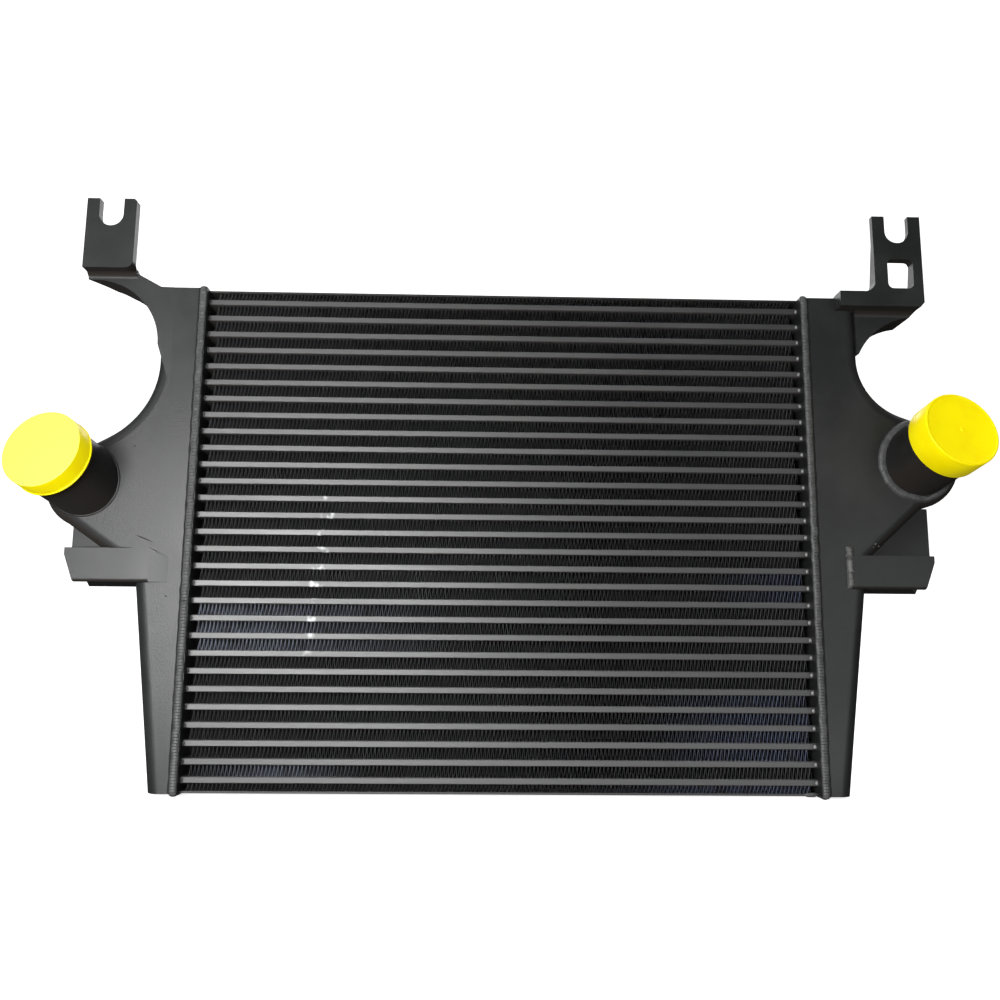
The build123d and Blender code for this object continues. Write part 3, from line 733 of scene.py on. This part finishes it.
def cap_plastic(name):
    """Soft yellow plastic, a little cloudy, with a fine moulded skin, that glows with its own colour: a
    painted glow.
    """
    plastic = bpy.data.materials.new(name)
    plastic.use_nodes = True
    nodes, links = plastic.node_tree.nodes, plastic.node_tree.links
    shader = nodes["Principled BSDF"]
    shader.inputs["Specular IOR Level"].default_value = 0.25
    tone = nodes.new("ShaderNodeMix")
    tone.data_type = "RGBA"
    tone.inputs["A"].default_value = (0.86, 0.70, 0.0, 1.0)
    tone.inputs["B"].default_value = (0.92, 0.78, 0.0, 1.0)
    links.new(noise_range(plastic, 45.0, 0.35, 0.65, 4.0), tone.inputs["Factor"])
    links.new(tone.outputs["Result"], shader.inputs["Base Color"])
    # Painted glow: the plastic emits its own colour though it is no lamp.
    links.new(tone.outputs["Result"], shader.inputs["Emission Color"])
    shader.inputs["Emission Strength"].default_value = 0.33
    satin = nodes.new("ShaderNodeMapRange")
    satin.inputs["To Min"].default_value = 0.36
    satin.inputs["To Max"].default_value = 0.5
    links.new(noise_range(plastic, 130.0, 0.3, 0.7), satin.inputs["Value"])
    links.new(satin.outputs["Result"], shader.inputs["Roughness"])
    skin = nodes.new("ShaderNodeBump")
    skin.inputs["Distance"].default_value = 0.00004
    links.new(noise_range(plastic, 700.0, 0.2, 0.8), skin.inputs["Height"])
    links.new(skin.outputs["Normal"], shader.inputs["Normal"])
    return plastic


def cap(side_name, profile):
    """Turns a cap's profile, given as radius and place along the neck, round the neck's axis."""
    foot, way, across, over = neck_frame(side_name)
    shell = bmesh.new()
    line = [shell.verts.new((radius, 0, reach)) for radius, reach in profile]
    edges = [shell.edges.new(pair) for pair in zip(line, line[1:])]
    bmesh.ops.spin(
        shell, geom=line + edges, cent=(0, 0, 0), axis=(0, 0, 1), angle=2 * pi, steps=cap_steps,
        use_merge=True,
    )
    bmesh.ops.remove_doubles(shell, verts=shell.verts, dist=0.000001)
    upright = Matrix((across, over, way)).transposed().to_4x4()
    bmesh.ops.transform(shell, matrix=Matrix.Translation(foot) @ upright, verts=shell.verts)
    return shell


left_plastic = cap_plastic("left_cap_plastic")
left_foot, left_way = neck_frame("left")[:2]
# Painted highlight: the left cap's face gets a lemon tint, a painted sheen of the upper left lamp.
left_face = within(left_plastic, left_way, left_foot.dot(left_way) + cap_face, 0.0003, 0.0003)
painted_face_sheen = (0.52, 0.61, 0.10)
tinted(left_plastic, left_face, painted_face_sheen)
left_cap = new_piece("left_neck_cap", cap("left", left_cap_line), left_plastic)
right_plastic = cap_plastic("right_cap_plastic")
right_cap = new_piece("right_neck_cap", cap("right", right_cap_line), right_plastic)
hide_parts("neck_caps")
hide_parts("neck_caps")


# --- Lower brackets ------------------------------------------------------------------------------
# Channels bent from 4 mm plate, welded to the tanks' faces, take the cooler's rubber pads. The bead
# up each inner edge is dressed smooth in front on the left and ragged on the right, where a little
# spatter lies above. A thin near-black rod along the left bracket's top is painted shade at that edge.

bracket_paint = black_paint(
    "bracket_paint", (0.014, 0.0147, 0.015), (0.035, 0.036, 0.036), 0.45, (0.4, 0.48), 26.0, 1000.0, 0.00008
)
wears(bracket_paint, "left_lower_bracket", "right_lower_bracket")
ragged_paint = black_paint(
    "ragged_weld", (0.09, 0.09, 0.088), (0.2, 0.2, 0.19), 0.6, (0.5, 0.6), 150.0, 1400.0, 0.0001,
    underside_shade=0.25,
)
tank_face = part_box("left_header_plate")[1].y
bracket_edge = 0.3375
dressed_width = 0.017
dressed_depth = 0.0040
dressed_fall = 0.009
dressed_top = 0.0325
dressed_lap = 0.0008
wedge_edge = 0.0001
ragged_top = 0.0415
ragged_lap = 0.0005
upright_pool_length = 0.0026
upright_sway = 0.0016
upright_sink = 0.0003
foot_share = 0.3
foot_taper = 0.003
head_share = 0.06
head_taper = 0.003
bead_foot_gap = 0.0005
bead_head_gap = 0.003


def upright_bead(x, face_y, low, high, width, height, rough, seed, flatness):
    """An upright bead of weld on a tank's face, faded out at its foot and its head."""
    out = Vector((0, 1 if face_y > 0 else -1, 0))
    rings = []
    for length, share, pool in pool_stations(high - low, lambda length, pool: upright_pool_length):
        length = min(length, high - low)
        ragged = 1 + rough * noise.noise(Vector((length * 330, seed, 0)))
        head = head_share + (high - low - length) / head_taper
        fade = min(1.0, foot_share + length / foot_taper, head)
        swell = (1 - rough + rough * ripple(share)) * fade * ragged
        sway = Vector((upright_sway * rough * noise.noise(Vector((length * 260, seed, 5))), 0, 0))
        middle = Vector((x, face_y, low + length)) - out * upright_sink + sway
        rings.append(half_round(middle, out, Vector((1, 0, 0)), width * ragged, height, swell, flatness))
    return lay_bead(rings, False)


def dressed_bead(x, low, high):
    """A bead ground down to a wedge that runs from the plate's face out onto the tank's."""
    middle = Vector((x + dressed_width / 2, -tank_face - dressed_depth / 2, (low + high) / 2))
    block = Matrix.Diagonal((dressed_width, dressed_depth, high - low, 1.0))
    wedge = bmesh.new()
    bmesh.ops.create_cube(wedge, size=1.0, matrix=Matrix.Translation(middle) @ block)
    for corner in wedge.verts:
        if corner.co.x > middle.x:
            corner.co.y = max(corner.co.y, -tank_face - wedge_edge)
            corner.co.z = min(corner.co.z, high - dressed_fall)
    return wedge


for side_name, way in (("left", -1), ("right", 1)):
    bracket_low, bracket_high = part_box(f"{side_name}_lower_bracket")
    foot = bracket_low.z + bead_foot_gap
    head = bracket_high.z - bead_head_gap
    if side_name == "left":
        front_bead = dressed_bead(-bracket_edge - dressed_lap, foot, bracket_low.z + dressed_top)
        front_paint = casting_paint
    else:
        front_bead = upright_bead(
            bracket_edge - ragged_lap, -tank_face, foot, bracket_low.z + ragged_top,
            width=0.0062, height=0.0048, rough=0.28, seed=9.0, flatness=0.6,
        )
        front_paint = ragged_paint
    rear_bead = upright_bead(
        way * bracket_edge, tank_face, foot, head,
        width=0.0065, height=0.0048, rough=0.3, seed=4.0, flatness=0.8,
    )
    in_front = new_piece(f"{side_name}_bracket_front_bead", front_bead, front_paint)
    behind = new_piece(f"{side_name}_bracket_rear_bead", rear_bead, weld_paint)
    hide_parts("bracket_welds")
    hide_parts("bracket_welds")

# Painted shade: a thin near-black rod along the left bracket's top edge stands in for the shade there.
shade_rod_place = (-0.3850, -0.0400, 0.2278)
shade_rod_half_sizes = (0.0300, 0.0021, 0.0007)
shade_rod = bmesh.new()
pebble(shade_rod, shade_rod_place, shade_rod_half_sizes)
new_piece("left_bracket_shade_rod", shade_rod, shade_and_mark_paint)
spatter_front = -0.0375
spatter_depth = 0.0011
spatter = bmesh.new()
for x, z, size in ((0.3641, 0.2393, 0.0014), (0.3668, 0.2371, 0.0009), (0.3617, 0.2362, 0.0007)):
    pebble(spatter, (x, spatter_front, z), (size, spatter_depth, size))
new_piece("right_bracket_spatter", spatter, weld_paint)


# --- Floor, light and camera ---------------------------------------------------------------------
# A white sheet sweeps from floor to backdrop, seen from its upper side only, and neither lights the
# cooler nor mirrors in it. A key lamp stands at the left, weaker ones at the upper left, at the
# right, low in front and behind, two above whiten the sheet, and the sky is faint.

floor_level = cad_box[0].z
sheet_half_width = 5.0
sheet_near = -2.4
bend_start = 1.2
bend_radius = 0.8
sheet_top = 3.6
sweep = bmesh.new()
floor_line = [(sheet_near, 0.0), (bend_start, 0.0)]
for degrees in range(15, 90, 15):
    bend_y = bend_start + bend_radius * sin(radians(degrees))
    bend_z = bend_radius - bend_radius * cos(radians(degrees))
    floor_line.append((bend_y, bend_z))
floor_line += [(bend_start + bend_radius, bend_radius), (bend_start + bend_radius, sheet_top)]
edge_points = [sweep.verts.new((-sheet_half_width, y, floor_level + z)) for y, z in floor_line]
edge = [sweep.edges.new(pair) for pair in zip(edge_points, edge_points[1:])]
grown = bmesh.ops.extrude_edge_only(sweep, edges=edge)["geom"]
far_side = [v for v in grown if isinstance(v, bmesh.types.BMVert)]
bmesh.ops.translate(sweep, verts=far_side, vec=(2 * sheet_half_width, 0, 0))
for face in sweep.faces:
    face.normal_update()
bmesh.ops.reverse_faces(sweep, faces=[face for face in sweep.faces if face.normal.z < face.normal.y])
sweep_mesh = bpy.data.meshes.new("studio_floor")
sweep.to_mesh(sweep_mesh)
sweep.free()
sweep_mesh.shade_smooth()
floor_paint = bpy.data.materials.new("studio_floor")
floor_paint.use_nodes = True
paper = floor_paint.node_tree.nodes["Principled BSDF"]
paper.inputs["Base Color"].default_value = (0.92, 0.92, 0.92, 1)
paper.inputs["Roughness"].default_value = 0.9
paper.inputs["Emission Color"].default_value = (1, 1, 1, 1)
paper.inputs["Emission Strength"].default_value = 0.85
paper_nodes, paper_links = floor_paint.node_tree.nodes, floor_paint.node_tree.links
side_seen = paper_nodes.new("ShaderNodeNewGeometry")
clear_back = paper_nodes.new("ShaderNodeBsdfTransparent")
one_sided = paper_nodes.new("ShaderNodeMixShader")
paper_links.new(side_seen.outputs["Backfacing"], one_sided.inputs["Fac"])
paper_links.new(paper.outputs["BSDF"], one_sided.inputs[1])
paper_links.new(clear_back.outputs["BSDF"], one_sided.inputs[2])
paper_links.new(one_sided.outputs["Shader"], paper_nodes["Material Output"].inputs["Surface"])
sweep_mesh.materials.append(floor_paint)
floor = bpy.data.objects.new("studio_floor", sweep_mesh)
floor.visible_diffuse = False
floor.visible_glossy = False
scene.collection.objects.link(floor)


def soft_lamp(name, place, target, width, height, power, spread=pi):
    """A rectangular soft lamp aimed at a place."""
    lamp = bpy.data.lights.new(name, "AREA")
    lamp.shape = "RECTANGLE"
    lamp.size, lamp.size_y = width, height
    lamp.energy = power
    lamp.spread = spread
    holder = bpy.data.objects.new(name, lamp)
    holder.location = place
    holder.visible_camera = False
    holder.rotation_euler = (Vector(target) - Vector(place)).to_track_quat("-Z", "Y").to_euler()
    scene.collection.objects.link(holder)


soft_lamp("key_lamp", (-0.42, -0.98, 0.24), (-0.2, 0.0, 0.2), 0.55, 0.4, 15.5)
soft_lamp("upper_left_lamp", (-1.25, -0.75, 1.0), (-0.42, -0.1, 0.31), 0.5, 0.5, 1.2)
soft_lamp("right_lamp", (0.85, -1.15, 0.15), (0.4, 0.0, 0.25), 0.6, 0.5, 2.0)
soft_lamp("low_lamp", (0.15, -0.17, 0.004), (0.15, -0.03, 0.05), 0.75, 0.08, 0.06, radians(80))
soft_lamp("rear_lamp", (0.0, 1.7, 1.2), (0.0, 0.0, 0.25), 1.2, 0.8, 12.0)
soft_lamp("backdrop_lamp", (0.0, 1.25, 3.1), (0.0, 1.65, 0.0), 5.0, 1.2, 60.0)
soft_lamp("floor_lamp", (0.1, -0.75, 1.9), (0.1, -0.75, 0.0), 2.6, 0.7, 8.0, radians(50))

sky = bpy.data.worlds.new("pale_sky")
sky.use_nodes = True
sky_nodes, sky_links = sky.node_tree.nodes, sky.node_tree.links
faint = sky_nodes["Background"]
faint.inputs["Color"].default_value = (1, 1, 1, 1)
faint.inputs["Strength"].default_value = 0.06
plain = sky_nodes.new("ShaderNodeBackground")
plain.inputs["Color"].default_value = (1, 1, 1, 1)
ray = sky_nodes.new("ShaderNodeLightPath")
seen = sky_nodes.new("ShaderNodeMixShader")
sky_links.new(ray.outputs["Is Camera Ray"], seen.inputs["Fac"])
sky_links.new(faint.outputs["Background"], seen.inputs[1])
sky_links.new(plain.outputs["Background"], seen.inputs[2])
sky_links.new(seen.outputs["Shader"], sky_nodes["World Output"].inputs["Surface"])
scene.world = sky
scene.view_settings.view_transform = "Standard"

camera_place = (-0.0230, -0.9055, 0.1417)
yaw, pitch, roll = radians(-1.25), radians(8.96), radians(0.48)
ahead = Vector((-sin(yaw) * cos(pitch), cos(yaw) * cos(pitch), sin(pitch)))
level_right = Vector((cos(yaw), sin(yaw), 0))
upright = level_right.cross(ahead)
right = level_right * cos(roll) + upright * sin(roll)
up = upright * cos(roll) - level_right * sin(roll)
lens = bpy.data.cameras.new("camera")
lens.sensor_fit = "HORIZONTAL"
lens.sensor_width = 36.0
lens.lens = 32.4
lens.clip_start = 0.01
lens.clip_end = 50
camera = bpy.data.objects.new("camera", lens)
turned = Matrix((right, up, -ahead)).transposed().to_4x4()
camera.matrix_world = Matrix.Translation(camera_place) @ turned
scene.collection.objects.link(camera)
scene.camera = camera
